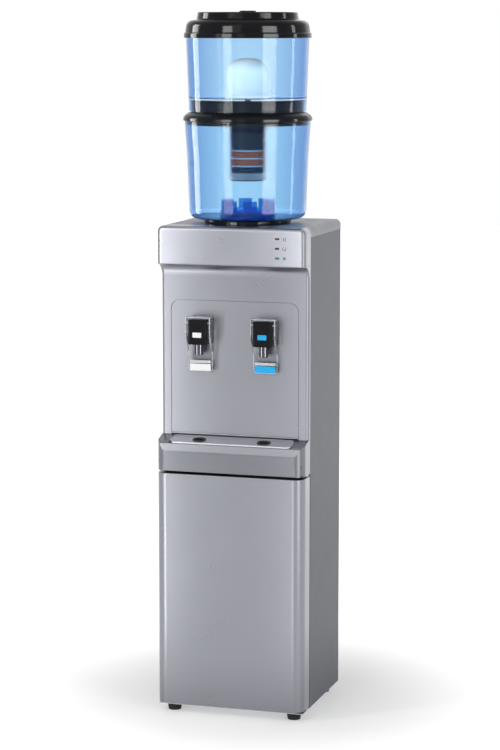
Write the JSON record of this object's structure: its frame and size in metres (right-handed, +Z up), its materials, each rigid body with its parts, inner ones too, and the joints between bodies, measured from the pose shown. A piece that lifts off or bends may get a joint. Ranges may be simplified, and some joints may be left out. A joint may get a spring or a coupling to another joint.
{
  "type": "water cooler",
  "caption": "Free-standing water cooler with a clear two-stage filter bottle on top, push-lever taps, a drip shelf and a storage cupboard with a hinged door.",
  "frame": {"origin": "middle of the footprint on the floor", "axes": "+Z up, the front with the taps faces -Y, +X to the right seen from the front"},
  "size_m": [0.31, 0.31, 1.426],
  "materials": {
    "silver_plastic": "satin silver moulding",
    "grey_paint": "satin grey coat on sheet steel",
    "grey_plastic": "fine-grained moulding",
    "black_plastic": "glossy black moulding",
    "dark_plastic": "matt black moulding",
    "white_plastic": "white moulding",
    "cyan_plastic": "bright blue moulding",
    "clear_plastic": "clear polycarbonate",
    "blue_clear": "blue tinted clear plastic",
    "chrome": "bright plated",
    "steel": "brushed steel",
    "zinc_steel": "zinc coated sheet",
    "black_rubber": "matt rubber",
    "grey_rubber": "soft seal",
    "foam": "rigid polyurethane foam",
    "silicone": "food grade silicone",
    "black_paint": "black stove enamel",
    "copper": "copper tube",
    "ceramic": "unglazed white ceramic",
    "navy_plastic": "navy moulding",
    "carbon": "activated carbon granules",
    "mineral": "orange-brown mineral granules",
    "felt": "grey felt",
    "grey_mesh": "moulded mesh",
    "board": "printed circuit board",
    "lens_dark": "dark lens",
    "lens_green": "green lens"
  },
  "bodies": {
    "cabinet": {"ambient_hose": "silicone", "back_panel": "zinc_steel", "base_plate": "zinc_steel", "bottle_seat": "black_plastic", "case_screws": "steel", "cold_hose": "silicone", "cold_tank": "steel", "compressor": "black_paint", "compressor_mounts": "black_rubber", "condenser": "black_paint", "condenser_wires": "black_paint", "cord_gland": "dark_plastic", "cupboard_lining": "grey_plastic", "dispenser_frame": "silver_plastic", "drip_shelf": "silver_plastic", "fascia": "silver_plastic", "feed_tube": "silicone", "feet": "black_rubber", "hinge_bracket_upper": "zinc_steel", "hinge_pin_lower": "steel", "indicator_board": "board", "indicator_lens_lit": "lens_green", "indicator_lenses": "lens_dark", "left_side_panel": "grey_paint", "right_side_panel": "grey_paint", "splash_panel": "silver_plastic", "suction_line": "copper", "tank_deck": "zinc_steel", "tank_foam": "foam", "tap_body_left": "black_plastic", "tap_body_right": "black_plastic", "tap_label_left": "white_plastic", "tap_label_right": "cyan_plastic", "tap_nozzles": "chrome", "tap_nuts": "dark_plastic", "tap_pins": "steel", "top_cover": "grey_plastic"},
    "door": {"door_skin": "silver_plastic", "door_liner": "grey_plastic", "door_gasket": "grey_rubber"},
    "lever_left": {"tap_lever_left": "clear_plastic", "tap_band_left": "white_plastic"},
    "lever_right": {"tap_lever_right": "clear_plastic", "tap_band_right": "cyan_plastic"},
    "drip_cup": {"drip_cup": "dark_plastic"},
    "drip_plate": {"drip_tray_plate": "silver_plastic", "drain_rings": "chrome"},
    "lower_bottle": {"lower_tank": "blue_clear", "outlet_guard": "blue_clear"},
    "bottle_cover": {"lower_tank_cover": "black_plastic"},
    "upper_bottle": {"upper_tank": "blue_clear", "ceramic_dome": "ceramic", "ceramic_base": "white_plastic", "cartridge_cap": "navy_plastic", "cartridge_sleeve": "blue_clear", "carbon_layers": "carbon", "mineral_layers": "mineral", "separator_pads": "felt", "cartridge_mesh": "grey_mesh"},
    "lid": {"bottle_lid": "black_plastic"}
  },
  "joints": [
    {"name": "door_hinge", "type": "hinge", "parent": "cabinet", "child": "door", "pos_m": [0.1495, -0.107, 0.26], "axis": [0, 0, 1], "range_deg": [0, 105]},
    {"name": "lever_left_push", "type": "hinge", "parent": "cabinet", "child": "lever_left", "pos_m": [-0.068, -0.138, 0.806], "axis": [1, 0, 0], "range_deg": [0, 4], "stiffness_Nm_per_rad": 0.4},
    {"name": "lever_right_push", "type": "hinge", "parent": "cabinet", "child": "lever_right", "pos_m": [0.068, -0.138, 0.806], "axis": [1, 0, 0], "range_deg": [0, 4], "stiffness_Nm_per_rad": 0.4},
    {"name": "drip_cup_lift", "type": "slide", "parent": "cabinet", "child": "drip_cup", "axis": [0, 0, 1], "range_m": [0, 0.06]},
    {"name": "drip_plate_lift", "type": "slide", "parent": "drip_cup", "child": "drip_plate", "axis": [0, 0, 1], "range_m": [0, 0.04]},
    {"name": "lower_bottle_lift", "type": "slide", "parent": "cabinet", "child": "lower_bottle", "axis": [0, 0, 1], "range_m": [0, 0.06]},
    {"name": "bottle_cover_lift", "type": "slide", "parent": "lower_bottle", "child": "bottle_cover", "axis": [0, 0, 1], "range_m": [0, 0.03]},
    {"name": "upper_bottle_lift", "type": "slide", "parent": "bottle_cover", "child": "upper_bottle", "axis": [0, 0, 1], "range_m": [0, 0.175]},
    {"name": "lid_lift", "type": "slide", "parent": "upper_bottle", "child": "lid", "axis": [0, 0, 1], "range_m": [0, 0.03]}
  ]
}
